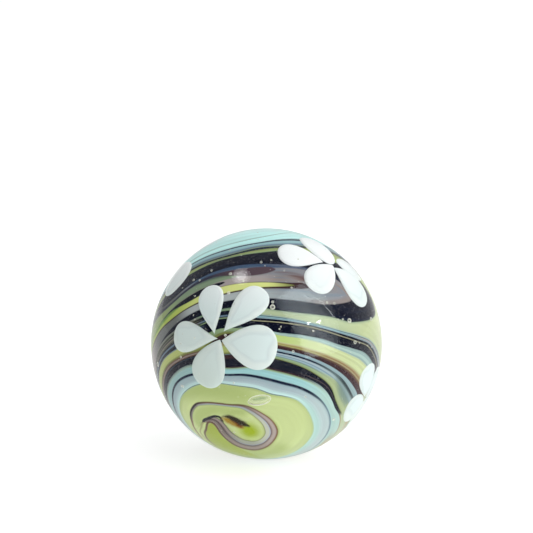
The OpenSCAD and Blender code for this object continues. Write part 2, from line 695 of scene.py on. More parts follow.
def lay(under, over, where):
    """One glass laid on another where the mask is 1."""
    return where.tree.node(
        "ShaderNodeMix",
        {"data_type": "RGBA"},
        {"Factor_Float": where, "A_Color": under, "B_Color": over},
        "Result_Color",
    )


def bands(place, starts):
    """A run of bands along a wire: each starts at a place, with its glass and the softness of its edge."""
    colour = None
    for first in range(0, len(starts), STOPS_IN_RAMP):
        batch = starts[first : first + STOPS_IN_RAMP]
        low = batch[0][0] - batch[0][2]
        high = batch[-1][0] + batch[-1][2]
        before = starts[max(first - 1, 0)][1]
        stops = [(0.0, before)]
        for start, glass, soft in batch:
            stops.append(((start - soft / 2 - low) / (high - low), before))
            stops.append(((start + soft / 2 - low) / (high - low), glass))
            before = glass
        ramp = place.tree.node(
            "ShaderNodeValToRGB", {"stops": stops}, {"Fac": (place - low) / (high - low)}
        )
        colour = ramp if colour is None else lay(colour, ramp, place.maths("GREATER_THAN", place, low))
    return colour


def clouds(vector, scale, detail):
    """Even clouds, most of them near a half."""
    return vector.tree.node(
        "ShaderNodeTexNoise", None, {"Vector": vector, "Scale": scale, "Detail": detail}, "Fac"
    )


STREAK_ALONG = 120.0
STREAK_DETAIL = 3.0


def streaks(across, often):
    """Clouds drawn out along the flow: slow over the ball and quick across a run of bands."""
    drawn_out = core_tree.node(
        "ShaderNodeCombineXYZ",
        None,
        {
            "X": split_place * STREAK_ALONG,
            "Y": split_place.other("Y") * STREAK_ALONG,
            "Z": across * often,
        },
    )
    return clouds(drawn_out, 1.0, STREAK_DETAIL)


WOBBLE = 0.06
WOBBLE_SCALE = 420.0
WOBBLE_DETAIL = 2.0
place_in_ball = core_tree.node("ShaderNodeTexCoord", result="Object")
split_place = core_tree.node("ShaderNodeSeparateXYZ", None, {"Vector": place_in_ball}, "X")
wobble = clouds(place_in_ball, WOBBLE_SCALE, WOBBLE_DETAIL) - 0.5
strand_wire = read_field("strand") + wobble * WOBBLE
front_wire = read_field("in_front")
side_wire = read_field("side")

# Bands of glass, each by the ring that it starts at, its colour and how soft its edge is.
pool_bands = [
    (-1.0, lime_pale, 0.02), (-0.03, lime_deep, 0.06), (0.0, aqua, 0.06), (0.3, white_lavender, 0.4),
    (0.78, blue_grey, 0.3), (1.1, sky, 0.2), (1.82, sage, 0.12), (1.97, maroon, 0.04), (2.12, black, 0.1),
]
right_bands = [
    (2.12, black, 0.1), (2.98, olive, 0.06), (3.08, sage, 0.1), (3.42, blue_grey, 0.12),
    (3.62, steel, 0.06), (3.7, white_lavender, 0.08), (3.92, navy, 0.06), (4.3, blue_grey, 0.08),
    (4.46, steel, 0.06), (4.54, blue_grey, 0.08), (4.94, maroon, 0.1), (5.75, brown, 0.3), (6.0, tan, 0.08),
    (6.13, rust, 0.08), (6.19, tan, 0.08), (6.28, yellow_lime, 0.12), (6.98, dull_teal, 0.12),
    (7.2, soft_aqua, 0.15), (7.55, dull_teal, 0.12), (7.96, black, 0.06), (8.93, dull_tan, 0.04),
    (9.04, black, 0.05), (9.36, blue_grey, 0.05), (9.47, steel, 0.03), (9.53, teal_grey, 0.04),
    (9.67, navy, 0.05), (9.75, dull_teal, 0.04), (9.89, pale_lime, 0.08),
]
middle_bands = [
    (2.12, black, 0.1), (2.95, maroon, 0.12), (3.4, olive, 0.15), (3.6, olive_yellow, 0.15),
    (4.35, tan, 0.1), (4.8, black, 0.1), (5.15, maroon, 0.15), (6.0, olive, 0.15), (6.35, sage, 0.2),
    (6.95, black, 0.1), (9.0, sage, 0.05), (9.14, black, 0.05), (9.24, steel, 0.05), (9.45, black, 0.06),
    (9.96, sage, 0.03), (10.06, pale_lime, 0.03),
]
left_bands = [
    (2.12, black, 0.1), (4.1, brown, 0.3), (4.9, warm_grey, 0.2), (5.5, brown, 0.3), (5.98, olive, 0.15),
    (6.2, olive_yellow, 0.2), (6.98, steel, 0.2), (7.3, grey_black, 0.2), (8.5, steel, 0.2),
    (8.9, grey_black, 0.1), (9.2, dull_olive, 0.08), (9.36, warm_grey, 0.05), (9.44, grey_black, 0.05),
    (9.56, dull_olive, 0.08), (9.7, black, 0.05), (9.8, dull_olive, 0.05), (9.92, warm_grey, 0.05),
    (10.04, black, 0.05),
]
back_bands = [
    (2.1, rust_brown, 0.12), (2.3, tan, 0.2), (2.55, pale_lime, 0.3), (3.5, tan, 0.2), (4.0, sage, 0.2),
    (4.9, maroon, 0.1), (5.6, brown, 0.2), (6.0, pale_lime, 0.2), (6.9, dull_teal, 0.1),
    (7.2, soft_aqua, 0.2), (7.7, steel, 0.1), (7.9, black, 0.1), (9.1, tan, 0.08), (9.25, black, 0.06),
    (9.5, blue_grey, 0.08), (9.75, navy, 0.06), (9.9, pale_lime, 0.1),
]
far_bands = [
    (10.6, lime_deep, 0.6), (11.0, navy, 0.15), (11.75, moss, 0.15), (12.0, steel, 0.1),
    (12.35, teal_grey, 0.3), (12.88, navy, 0.1), (13.12, cap_aqua, 0.15), (15.0, navy, 0.03),
    (15.12, sky, 0.03), (15.6, white_lavender, 0.4), (16.0, black, 0.05), (16.9, maroon, 0.1),
    (17.0, yellow_lime, 0.1), (17.5, sage, 0.1), (17.7, blue_grey, 0.1), (18.0, navy, 0.03),
    (18.08, lime_pale, 0.03),
]

# What the edges of a run of glass can follow, beside the tongues and patches: the rings, the sides, the
# streaks, and how far away the ribbon and the thin lines are. Three values say how often streaks come.
BAND_STREAKS = 7.0
BLACK_STREAKS = 0.5
LAVENDER_STREAKS = 0.35
wires = {
    "strand": strand_wire,
    "side": side_wire,
    "band_streaks": streaks(strand_wire, BAND_STREAKS),
    "black_streaks": streaks(read_field("black_tongue"), BLACK_STREAKS),
    "lavender_streaks": streaks(read_field("lavender_tongue"), LAVENDER_STREAKS),
    "beside_ribbon": abs(read_field("ribbon_across")),
    **{name: abs(read_field(name)) for name in thin_lines},
}


def show(share, *edges):
    """How much of a glass shows: its share, within edges that each name a field and two places on it.

    The glass starts at the first place and is full at the second.
    """
    for name, start, full in edges:
        share = share * smooth_step(wires.get(name) or read_field(name), start, full)
    return share


def lay_runs(colour, runs):
    """Runs of glass laid on in turn, each by its colour, how much of it shows, and its edges."""
    for glass, share, *edges in runs:
        colour = lay(colour, glass, show(share, *edges))
    return colour


THREAD_FULL = 0.6
THREAD_GONE = 1.4


def thread(colour, at, glass, half, strength, dying=1.0):
    """A fine thread of glass along one ring, dying out round the sides unless told not to."""
    gap = abs(strand_wire - at) + (1.0 - front_wire) * half * dying
    return lay(colour, glass, (1.0 - smooth_step(gap, half * THREAD_FULL, half * THREAD_GONE)) * strength)


def toned(colour, tone):
    """A glass made lighter or darker."""
    return tone.tree.node("ShaderNodeHueSaturation", None, {"Value": tone, "Color": colour})


# The pool and the aqua round it, which pale to the right and dull to the left.
RIGHT_SIDE = ("side", 35, 75)
LEFT_SIDE = ("side", -25, -60)
PAST_POOL = ("strand", -0.05, 0.05)
PAST_NAVY = ("strand", 1.05, 1.2)
core_colour = lay_runs(
    bands(strand_wire, pool_bands),
    [
        (pale_aqua, 1.0, RIGHT_SIDE, PAST_POOL, ("strand", 0.6, 0.15)),
        (mist_aqua, 0.7, RIGHT_SIDE, ("strand", 0.15, 0.6), ("strand", 0.98, 0.85)),
        (pale_sky, 1.0, RIGHT_SIDE, PAST_NAVY),
        (dull_teal, show(0.22, LEFT_SIDE, PAST_POOL) + show(0.4, LEFT_SIDE, PAST_NAVY)),
        (tan, read_field("low_side"), ("strand", 1.15, 1.6)),
    ],
)

# The stirred bands from left to right, a cream run that widens to the right, and the bands behind.
CREAM_SIDE = ("side", 35, 70)
CREAM_END = 3.42
CREAM_WIDENS = 0.25
CREAM_SOFT = 0.06
RIGHT_START = ("side", -12, -2)
past_cream = strand_wire - (show(CREAM_WIDENS, CREAM_SIDE) + CREAM_END)
stirred = lay_runs(
    bands(strand_wire, left_bands),
    [
        (bands(strand_wire, middle_bands), 1.0, ("side", -36, -28)),
        (bands(strand_wire, right_bands), 1.0, RIGHT_START),
        (cream_lime, smooth_step(past_cream, CREAM_SOFT, -CREAM_SOFT), CREAM_SIDE, ("strand", 2.98, 3.12)),
        (dull_teal, 0.5, CREAM_SIDE, ("strand", 3.6, 3.75), ("strand", 4.95, 4.85)),
        (leaf_lime, 0.3, RIGHT_START, ("side", 52, 38), ("strand", 5.95, 6.02), ("strand", 6.26, 6.16)),
        (fresh_lime, 0.8, RIGHT_START, ("side", 40, 16), ("strand", 6.3, 6.4), ("strand", 7.0, 6.92)),
        (pink_grey, 0.8, ("side", 46, 68), ("strand", 9.42, 9.56), ("strand", 9.72, 9.66)),
        (bands(strand_wire, back_bands), read_field("behind")),
    ],
)
core_colour = lay_runs(
    core_colour,
    [
        (stirred, 1.0, ("strand", 2.1, 2.2)),
        (bands(strand_wire, far_bands), 1.0, ("strand", 10.3, 10.9)),
    ],
)

# Threads by their ring, colour, half width and strength. The navy one thins and fades to the right and
# never dies out, and the mauve one slants outwards.
FAR_RIGHT = ("side", 50, 88)
threads = [
    (0.04, dark_teal, 0.035, show(0.75, ("side", 62, 30))),
    (1.0, navy, 0.12 - show(0.07, FAR_RIGHT), 1.0 - show(0.55, FAR_RIGHT), 0.0),
    (2.24 + show(0.4, ("side", 25, 68)), mauve, 0.05, show(0.5, ("side", 26, 50))),
    (3.4, steel, 0.05, show(0.7, ("side", 62, 38))),
    (4.1, black, 0.26, show(0.9, ("side", 56, 72))),
    (14.0, sea_green, 0.035, 0.6),
]
for one_thread in threads:
    core_colour = thread(core_colour, *one_thread)
limb_run = (yellow_lime, 0.8, ("side", 44, 68), ("strand", 9.85, 10.0), ("strand", 11.0, 10.6))
core_colour = lay_runs(core_colour, [limb_run])
# Streaks lighten and darken the bands a little, and on the right the bands between the yellow lime and the
# pale lime are darkened: painted shade.
streak_and_shade_tone = 1.0 + show(0.1, ("band_streaks", 0.48, 0.7)) - show(0.09, ("band_streaks", 0.5, 0.3))
streak_and_shade_tone = streak_and_shade_tone - show(0.12, ("side", 35, 68), ("strand", 5.5, 6.5), ("strand", 10.4, 9.9))
core_colour = toned(core_colour, streak_and_shade_tone)

# The glass of each tongue that has more than one colour in it.
black_run = lay_runs(black, [(blue_black, 0.7, ("black_streaks", 0.5, 0.7))])
tongue_bands = [
    (10.0, blue_white, 0.02), (10.29, grey_mist, 0.04), (10.36, ashen, 0.04), (10.44, warm_grey, 0.04),
    (10.5, ashen, 0.04), (10.63, dim_blue, 0.04),
]
TONGUE_WANDER = 0.25
lavender_run = lay_runs(
    bands(strand_wire + (wires["lavender_streaks"] - 0.5) * TONGUE_WANDER, tongue_bands),
    [
        (warm_grey, 0.25, ("lavender_streaks", 0.5, 0.7)),
        (steel, 0.6, ("lavender_streaks", 0.5, 0.3)),
        (mist, 0.8, ("side", 16, -4), ("strand", 10.36, 10.28)),
        (
            pink_pale, 0.7,
            ("side", -30, -15), ("side", 12, 0), ("strand", 10.3, 10.4), ("strand", 10.56, 10.5),
        ),
        (warm_grey, 0.7, ("side", 20, 34), ("strand", 10.5, 10.4), ("lavender_tongue", 3.5, 0.8)),
        (slate, 0.85, ("side", -32, -48)),
        (pink_grey, 0.5, ("side", -64, -80)),
    ],
)
finger_run = lay_runs(yellow_bright, [(leaf_lime, 1.0, ("side", -22, -48)), (olive, 1.0, ("side", 4, 18))])
sage_run = lay_runs(
    moss, [(dark_teal, 1.0, ("strand", 10.55, 10.63)), (olive_lime, 0.85, ("side", -36, -58))]
)
maroon_run = lay_runs(plum, [(blue_black, 0.85, ("side", -10, -26))])

# The ribbon's glass changes along its run: each look by where it starts, where it is full and its bands.
first_ribbon = [(-1.0, tan, 0.3), (-0.4, rust_brown, 0.4), (0.5, tan, 0.3)]
ribbon_looks = [
    (0.05, 0.12, [(-1.0, sage, 0.1), (-0.75, warm_grey, 0.3), (-0.1, grey_black, 0.4), (0.8, brown, 0.2)]),
    (0.17, 0.26, [
        (-1.0, sage, 0.1), (-0.75, lilac, 0.3), (-0.2, warm_grey, 0.3), (0.15, brown, 0.3),
        (0.85, olive, 0.2),
    ]),
    (0.38, 0.48, [
        (-1.0, olive, 0.06), (-0.9, opal_grey, 0.1), (-0.3, lilac, 0.2), (-0.12, mauve, 0.08),
        (0.04, warm_grey, 0.1), (0.2, pink_grey, 0.2), (0.64, warm_grey, 0.15), (0.76, rust_brown, 0.12),
        (0.93, olive, 0.1),
    ]),
    (0.72, 0.83, [
        (-1.0, dull_olive, 0.08), (-0.85, pink_grey, 0.2), (-0.35, mauve, 0.2), (-0.15, plum, 0.12),
        (0.02, warm_grey, 0.15), (0.5, pink_grey, 0.2), (0.72, brown, 0.15), (0.92, dull_olive, 0.1),
    ]),
]
ribbon_across = read_field("ribbon_across")
ribbon_colour = bands(ribbon_across, first_ribbon)
for start, full, look in ribbon_looks:
    look_run = (bands(ribbon_across, look), 1.0, ("ribbon_run", start, full))
    ribbon_colour = lay_runs(ribbon_colour, [look_run])
# The ribbon is painted lighter round its right bend and darker round the bottom of its hook: painted light
# and painted shade.
ribbon_light_and_shade = 1.0 + show(0.2, ("ribbon_run", 0.42, 0.5)) - show(0.4, ("ribbon_run", 0.57, 0.67))

# Every patch and tongue on the bands, laid on in turn. First come the shades in the pool and inside the
# ribbon's loop, the shade under the flat bubble and the shadow wedge on the right: painted shade, darker
# glass laid where the core looks shaded. The tongues follow in the order in which they were pushed in.
IN_POOL = ("strand", 0.02, -0.06)
core_colour = lay_runs(
    core_colour,
    [
        (lime_deep, 0.8, IN_POOL, ("pool_shade_top", -5.0, 5.0)),
        (lime_deep, 0.9, IN_POOL, ("pool_shade_low", -4.0, 4.0)),
        (lime_deep, 0.75, IN_POOL, ("loop_shade", -2.5, 2.5)),
        (lime_green, 0.8, ("bubble_shade", -0.9, 0.9)),
        (shadow_teal, 0.85, ("shadow_wedge", -1.9, 1.9)),
        (sea_green, 0.6, ("black_tongue", -1.4, 0.4)),
        (black_run, 1.0, ("black_tongue", -0.3, 0.3)),
        (lavender_run, 1.0, ("lavender_tongue", -0.4, 0.4)),
        (flame, 1.0, ("mauve_flame", -1.2, 1.2), ("lavender_streaks", 0.35, 0.55)),
        (maroon, 1.0, ("maroon_finger", -0.25, 0.25)),
        (finger_run, 1.0, ("yellow_finger", -0.25, 0.25)),
        (lime_green, 1.0, ("green_streak", -0.7, 0.7)),
        (black, 1.0, ("pointed_tongue", -0.25, 0.25)),
        (sage_run, 1.0, ("sage_finger", -0.4, 0.4)),
        (maroon_run, 1.0, ("maroon_tongue", -0.4, 0.4)),
        (olive, 0.3, ("beside_ribbon", 1.5, 1.0)),
        (lime_rich, 1.0, ("lime_tongue", -0.8, 0.8)),
        (toned(ribbon_colour, ribbon_light_and_shade), 1.0, ("beside_ribbon", 1.1, 0.93)),
        (rust_brown, 0.5, ("wisp_line", 0.7, 0.1)),
        (brown, 1.0, ("hook_line", 0.9, 0.25)),
        (grey_black, 1.0, ("tip_line", 0.9, 0.4)),
        (glow_green, 0.95, ("glow_patch", -3.0, 3.0)),
    ],
)

# Pale specks in the dark glass.
SPECK_SCALE = 6500.0
SPECK_SHARE = 0.3
wires["speck"] = clouds(place_in_ball, SPECK_SCALE, 1.0)
wires["depth"] = core_tree.node("ShaderNodeRGBToBW", None, {"Color": core_colour})
specks = (ashen, SPECK_SHARE, ("speck", 0.6, 0.7), ("depth", 0.06, 0.02))
core_colour = lay_runs(core_colour, [specks])

# The smears by the eye, by name, colour, soft edge and how far clouds push that edge.
SMEAR_SCALE = 1500.0
SMEAR_DETAIL = 3.0
SMEAR_STIR = 4.0
smears = [
    ("amber_patch", amber, 1.3, 0.4),
    ("rust_patch", burnt, 1.2, 0.5),
    ("eye_streak", smear_brown, 0.8, 0.6),
]
smear = (clouds(place_in_ball, SMEAR_SCALE, SMEAR_DETAIL) - 0.5) * SMEAR_STIR
for name, glass, soft, push in smears:
    core_colour = lay(core_colour, glass, smooth_step(read_field(name) + smear * push, -soft, soft))


def finish_coloured(tree, colour):
    """Finishes a coloured glass. It lies under clear glass, which has all the shine."""
    surface = tree.node(
        "ShaderNodeBsdfPrincipled",
        None,
        {"Base Color": colour, "Roughness": 1.0, "Specular IOR Level": 0.0},
    )
    tree.node("ShaderNodeOutputMaterial", None, {"Surface": surface})


finish_coloured(core_tree, core_colour)
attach(core, ball_body)

# ---- Flowers ----
# Flowers of five petals, each one touch of melted white rod set on the core and pulled to a point at the
# middle. The flame fuses them to the core before the last dip, so the clear glass closes over them.

PETAL_STAND = 0.022
PETAL_SINK = 0.006
PETAL_ROWS = 36
PETAL_COLUMNS = 16
PETAL_POINT = 0.95
PETAL_ROUND = 0.5
PETAL_EDGE = 5
PETAL_MELT = 1e-5
PETAL_CLOUD_SCALE = 260.0
PETAL_CLOUD_DETAIL = 2.0
PETAL_CLOUDING = 1.6
PAINTED_LIGHT_ABOVE = (0.45, 0.8)
SHADE_LEFT_OF = (0.05, -0.5)
SHADE_BELOW = (0.5, -0.1)

petal_glass, petal_tree = new_glass("petal_glass")
white_edge = rod(223, 234, 230)
white_heart = rod(220, 235, 233)
white_seam = rod(211, 225, 224)
white_shade = rod(201, 215, 208)
painted_light_white = rod(243, 248, 248)
petal_place = petal_tree.node("ShaderNodeTexCoord", result="Object")
petal_clouds = clouds(petal_place, PETAL_CLOUD_SCALE, PETAL_CLOUD_DETAIL)
petal_blend = petal_tree.node(
    "ShaderNodeValToRGB",
    {
        "stops": [
            (0.0, white_edge),
            (0.2, white_edge),
            (0.4, white_seam),
            (0.5, white_heart),
            (1.0, white_heart),
        ]
    },
    {"Fac": field_wire(petal_tree, "petal_depth") + (petal_clouds - 0.5) * PETAL_CLOUDING},
)
split_petal = petal_tree.node("ShaderNodeSeparateXYZ", None, {"Vector": petal_place}, "X")
petal_height = split_petal.other("Z")


def petal_share(value, low, high):
    """0 up to low and 1 from high, both in ball radii."""
    ends = {"From Min": low * ball_radius, "From Max": high * ball_radius}
    return petal_tree.node("ShaderNodeMapRange", None, {"Value": value, **ends})


# Painted light and shade on the petals: lighter towards the top of the ball, and darker low on the left.
petal_blend = lay(petal_blend, painted_light_white, petal_share(petal_height, *PAINTED_LIGHT_ABOVE))
painted_shade_low_left = petal_share(split_petal, *SHADE_LEFT_OF) * petal_share(petal_height, *SHADE_BELOW)
finish_coloured(petal_tree, lay(petal_blend, white_shade, painted_shade_low_left))


def add_petal(shape, depth_layer, base, end, width, point=PETAL_POINT):
    """One petal from its point at the flower's middle to its round end, with its widest in degrees."""
    start, finish = on_ball(*base), on_ball(*end)
    length = math.acos(start @ finish)
    ahead = (finish - start * math.cos(length)) / math.sin(length)
    aside = np.cross(start, ahead)
    along = (1 - np.cos(np.linspace(0, math.pi, PETAL_ROWS))) / 2
    across = np.sin(np.linspace(-math.pi / 2, math.pi / 2, PETAL_COLUMNS))
    widest = point / (point + PETAL_ROUND)
    fullest = widest**point * (1 - widest) ** PETAL_ROUND
    half = math.radians(width) / 2 * along**point * (1 - along) ** PETAL_ROUND / fullest
    spine = np.cos(length * along)[:, None] * start + np.sin(length * along)[:, None] * ahead
    reach = (half[:, None] * across)[..., None]
    places = in_glass(np.cos(reach) * spine[:, None, :] + np.sin(reach) * aside)
    dome = np.sqrt(1 - np.abs(across) ** PETAL_EDGE)
    dome = dome * np.sqrt(1 - np.abs(2 * along - 1) ** PETAL_EDGE)[:, None]
    inward = (1 - np.abs(across)) * half[:, None]
    from_end = (1 - along)[:, None] * length
    depth = np.minimum(inward, from_end) / half.max()
    low = core_radius - PETAL_SINK * ball_radius
    high = low + (PETAL_SINK + PETAL_STAND) * ball_radius * dome
    for height in (high, np.full_like(high, low)):
        grid = [
            [shape.verts.new(place * radius) for place, radius in zip(row, radii)]
            for row, radii in zip(places, height)
        ]
        for row, row_depth in zip(grid, depth):
            for vertex, value in zip(row, row_depth):
                vertex[depth_layer] = value
        for row, next_row in zip(grid, grid[1:]):
            for one, two, three, four in zip(row, row[1:], next_row[1:], next_row):
                shape.faces.new((one, two, three, four))


def flower(name, petals):
    """One flower: its petals given by where each starts and ends and its greatest width."""
    shape = bmesh.new()
    depth_layer = shape.verts.layers.float.new("petal_depth")
    for petal in petals:
        add_petal(shape, depth_layer, *petal)
    bmesh.ops.remove_doubles(shape, verts=shape.verts, dist=ball_radius * PETAL_MELT)
    bmesh.ops.recalc_face_normals(shape, faces=shape.faces)
    mesh = bpy.data.meshes.new(name)
    shape.to_mesh(mesh)
    shape.free()
    mesh.shade_smooth()
    mesh.materials.append(petal_glass)
    piece = bpy.data.objects.new(name, mesh)
    bpy.context.scene.collection.objects.link(piece)
    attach(piece, ball_body)


# Each petal by the turn and reach of its point and of its round end, its greatest width in degrees and,
# where it isn't the usual one, how slowly it widens from its point.
flowers = {
    "front_flower": [
        ((-21.9, 47.5), (-52, 33.1), 17.2, 0.93),
        ((-23, 48.2), (-51.2, 60.8), 14.5, 1.27),
        ((-24.5, 50.7), (-22.8, 74.5), 13.1, 1.2),
        ((-18.7, 50.6), (4.2, 68.4), 14.6, 1.17),
        ((-21.2, 47), (15, 41.2), 20.4, 1.0),
    ],
    "upper_flower": [
        ((36.1, 94.3), (25.8, 73.4), 14.7, 0.94),
        ((36.5, 92.8), (59.6, 86.9), 19, 0.93),
        ((30.8, 92.9), (8.5, 90.8), 16.2, 1.13),
        ((22.7, 113.1), (35, 94.2), 15.6, 0.35),
        ((38.6, 99), (57, 105.4), 12.5, 0.6),
    ],
    "left_flower": [
        ((-48.5, 108), (-42.8, 83.6), 20),
        ((-52, 109), (-73, 103), 16),
        ((-52, 112), (-68, 131), 16.5),
        ((-49, 113), (-46, 137), 17),
        ((-46.5, 110), (-24, 121), 16),
    ],
    "right_flower": [
        ((97.2, 58.1), (77.7, 63), 15.1, 1.08),
        ((98, 57.4), (101.5, 43.1), 17.6, 0.55),
        ((98.6, 59.3), (94.5, 76.5), 13.5, 0.9),
        ((100, 59.2), (116, 71), 13.5),
        ((100.4, 58), (121.5, 58.5), 13.5),
    ],
    "back_flower": [
        ((171, 81.5), (148, 78), 17),
        ((172, 80), (168, 58), 17),
        ((174, 80.5), (196, 70), 16.5),
        ((174, 82.5), (194, 94), 17),
        ((172, 83), (162, 105), 17),
    ],
    "far_flower": [
        ((118, 118.5), (88, 120), 16.5),
        ((119, 117), (104, 98), 17),
        ((121, 117), (138, 99), 16.5),
        ((121.5, 119), (152, 119), 17),
        ((120, 120), (118, 142), 17),
    ],
    "low_flower": [
        ((-122, 96.5), (-122, 74), 17),
        ((-120.5, 98), (-97, 104), 16.5),
        ((-121.5, 99), (-110, 120), 17),
        ((-123.5, 99), (-143, 115), 17),
        ((-124, 97.5), (-147, 89), 16.5),
    ],
}
for name, petals in flowers.items():
    flower(name, petals)

# ---- Seed bubbles ----
# Air caught between the core and the last dip: fine seeds all round, and a few larger beads close to the
# flowers. The heat draws each one round. They stay where the glass set, just under the surface.

SEED_SHELL = 0.964
SHELL_SEGMENTS = 64
SHELL_RINGS = 32
SEED_DEPTH = 0.012
SEED_COUNT = 420
SEED_NUMBER = 7
FINEST_SEED = 0.0022
LARGEST_SEED = 0.0085
FEW_LARGE = 5.0
SEED_SIDES = 8
SEED_RINGS = 5
BEAD_SIDES = 20
BEAD_RINGS = 12
AIR_IOR = 1 / GLASS_IOR
PAINTED_RING_PALE = (0.92, 0.93, 0.8, 1.0)
AIR_RIM = {"From Min": 0.22, "From Max": 0.52, "To Min": 0.08, "To Max": 0.95}

air, air_tree = new_glass("trapped_air")
air_gap = air_tree.node(
    "ShaderNodeBsdfGlass", None, {"Color": COLOURLESS, "Roughness": 0.0, "IOR": AIR_IOR}
)
# Towards each bubble's rim a pale matte skin takes over from the clear air: painted reflection, standing in
# for the bright ring that a bubble in glass reflects.
painted_reflection_ring = air_tree.node("ShaderNodeBsdfDiffuse", None, {"Color": PAINTED_RING_PALE})
towards_rim = air_tree.node("ShaderNodeLayerWeight", None, {"Blend": 0.5}, "Facing")
rim_share = air_tree.node("ShaderNodeMapRange", None, {"Value": towards_rim, **AIR_RIM})
air_surface = air_tree.node("ShaderNodeMixShader", None, {0: rim_share, 1: air_gap, 2: painted_reflection_ring})
see_through(air_tree, air_surface)

seed_inputs = {
    "Geometry": "Geometry",
    "Shell": "Float",
    "Depth": "Float",
    "Density": "Float",
    "Seed": "Int",
    "Finest": "Float",
    "Largest": "Float",
    "Few Large": "Float",
    "Air": "Material",
}
seed_group, seed_tree, given = new_shape("seed_bubbles", seed_inputs)


def chance(least, most, shift):
    """A random number for each seed, from the tree's own seed number."""
    return seed_tree.node(
        "FunctionNodeRandomValue",
        {"data_type": "FLOAT"},
        {"Min": least, "Max": most, "Seed": given.other("Seed") + shift},
        "Value",
    )


def balls_on(points, sides, rings, size):
    """A small ball on each point."""
    one_ball = ball_mesh(seed_tree, sides, rings, 1.0)
    return seed_tree.node(
        "GeometryNodeInstanceOnPoints", None, {"Points": points, "Instance": one_ball, "Scale": size}
    )


shell = ball_mesh(seed_tree, SHELL_SEGMENTS, SHELL_RINGS, given.other("Shell"))
scattered = seed_tree.node(
    "GeometryNodeDistributePointsOnFaces",
    None,
    {"Mesh": shell, "Density": given.other("Density"), "Seed": given.other("Seed")},
)
lift = seed_tree.node(
    "ShaderNodeVectorMath",
    {"operation": "SCALE"},
    {
        "Vector": seed_tree.node("GeometryNodeInputPosition"),
        "Scale": (chance(0.0, 2.0, 1.0) - 1.0) * given.other("Depth"),
    },
)
scattered = seed_tree.node("GeometryNodeSetPosition", None, {"Geometry": scattered, "Offset": lift})
share = chance(0.0, 1.0, 2.0)
share = share.maths("POWER", share, given.other("Few Large"))
seed_size = given.other("Finest") + share * (given.other("Largest") - given.other("Finest"))
seeds = balls_on(scattered, SEED_SIDES, SEED_RINGS, seed_size)
bead_size = seed_tree.node(
    "GeometryNodeInputNamedAttribute", {"data_type": "FLOAT"}, {"Name": "bead_size"}, "Attribute"
)
beads = balls_on(given.other("Geometry"), BEAD_SIDES, BEAD_RINGS, bead_size)
join = seed_tree.node("GeometryNodeJoinGeometry", None, {"Geometry": seeds})
seed_tree.node_tree.links.new(beads.socket, join.socket.node.inputs["Geometry"])
finish_shape(seed_tree, join, given.other("Air"))

# Turn and reach of each bead, and its radius in hundredths of the ball's.
bead_places = [
    (8.7, 60, 2.1), (8.5, 62.3, 1.1), (49.8, 68.2, 1.9), (45.8, 66.5, 0.8), (43.5, 65, 0.7),
    (38.8, 71, 1.0), (35, 69.5, 1.0), (58.5, 62, 1.5), (61.5, 63.8, 0.7), (32.3, 54.3, 0.9),
    (29.2, 54.3, 0.5), (25, 42.8, 1.0), (13.8, 50.8, 0.7), (14.4, 51.9, 0.7), (-75, 61, 2.0),
    (-67, 41, 1.1), (-17.5, 48.6, 1.0), (-13.2, 67.4, 1.3), (-6, 72.5, 0.9), (-12.3, 77.3, 1.2),
    (-28, 79, 0.9), (-31.5, 81, 1.0), (-21.8, 82.2, 0.9), (-31, 71.5, 0.7), (-51.8, 49.7, 1.0),
    (1.6, 82.7, 1.0), (6, 84.3, 0.7), (12.3, 78.9, 0.6), (16.6, 70.6, 0.8), (64, 80.5, 1.6),
    (68, 67.2, 0.7), (23.4, 75.2, 0.6), (-33.5, 62.6, 0.6), (-38.5, 80.3, 0.6), (53, 27.8, 0.9),
    (*near_eye(-11.1, -1.6), 0.8), (*near_eye(-37, 16.2), 1.1), (96, 36, 1.4), (118, 71, 1.2),
    (143, 97, 1.6), (-104, 58, 1.2), (-131, 71, 1.7), (-152, 104, 1.1), (176, 47, 1.3), (70, 128, 1.2),
    (-40, 139, 1.5),
]
bead_mesh = bpy.data.meshes.new("bead_places")
bead_points = in_glass(np.array([on_ball(turn, reach) for turn, reach, size in bead_places]))
bead_mesh.from_pydata(bead_points * ball_radius * SEED_SHELL, [], [])
bead_sizes = bead_mesh.attributes.new("bead_size", "FLOAT", "POINT")
bead_sizes.data.foreach_set("value", [size / 100 * ball_radius for turn, reach, size in bead_places])
shell_area = 4 * math.pi * (ball_radius * SEED_SHELL) ** 2
seed_bubbles = shape_piece(
    "seed_bubbles",
    seed_group,
    {
        "Shell": ball_radius * SEED_SHELL,
        "Depth": SEED_DEPTH,
        "Density": SEED_COUNT / shell_area,
        "Seed": SEED_NUMBER,
        "Finest": ball_radius * FINEST_SEED,
        "Largest": ball_radius * LARGEST_SEED,
        "Few Large": FEW_LARGE,
        "Air": air,
    },
    bead_mesh,
)
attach(seed_bubbles, ball_body)

# ---- Flat bubble ----
# One wide bubble of air above the swirl's eye, pressed flat as the dip closed over it, and leaning a
# little. The set glass holds it at the depth of the seeds.

FLAT_LONG = 0.096
FLAT_WIDE = 0.048
FLAT_THICK = 0.02
FLAT_LEAN = 11.0
FLAT_RIGHT = 1.5
FLAT_ABOVE = 18.1
FLAT_SEGMENTS = 64
FLAT_RINGS = 32
flat_place = in_glass(on_ball(*near_eye(FLAT_RIGHT, FLAT_ABOVE)))
flat_out = Vector(flat_place)
flat_up = (Vector(turn_up) - flat_out * flat_out.dot(Vector(turn_up))).normalized()
flat_right = flat_up.cross(flat_out)
flat_frame = Matrix((flat_right, flat_up, flat_out)).transposed().to_4x4()
flat_frame.translation = flat_out * ball_radius * SEED_SHELL
flat_shape = Matrix.Diagonal((FLAT_LONG, FLAT_WIDE, FLAT_THICK, 1.0))
flat_sizes = {"Radius": ball_radius, "Segments": FLAT_SEGMENTS, "Rings": FLAT_RINGS, "Glass": air}
flat_bubble = shape_piece("flat_bubble", ball_group, flat_sizes)
flat_bubble.data.transform(flat_frame @ Matrix.Rotation(math.radians(FLAT_LEAN), 4, "Z") @ flat_shape)
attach(flat_bubble, ball_body)
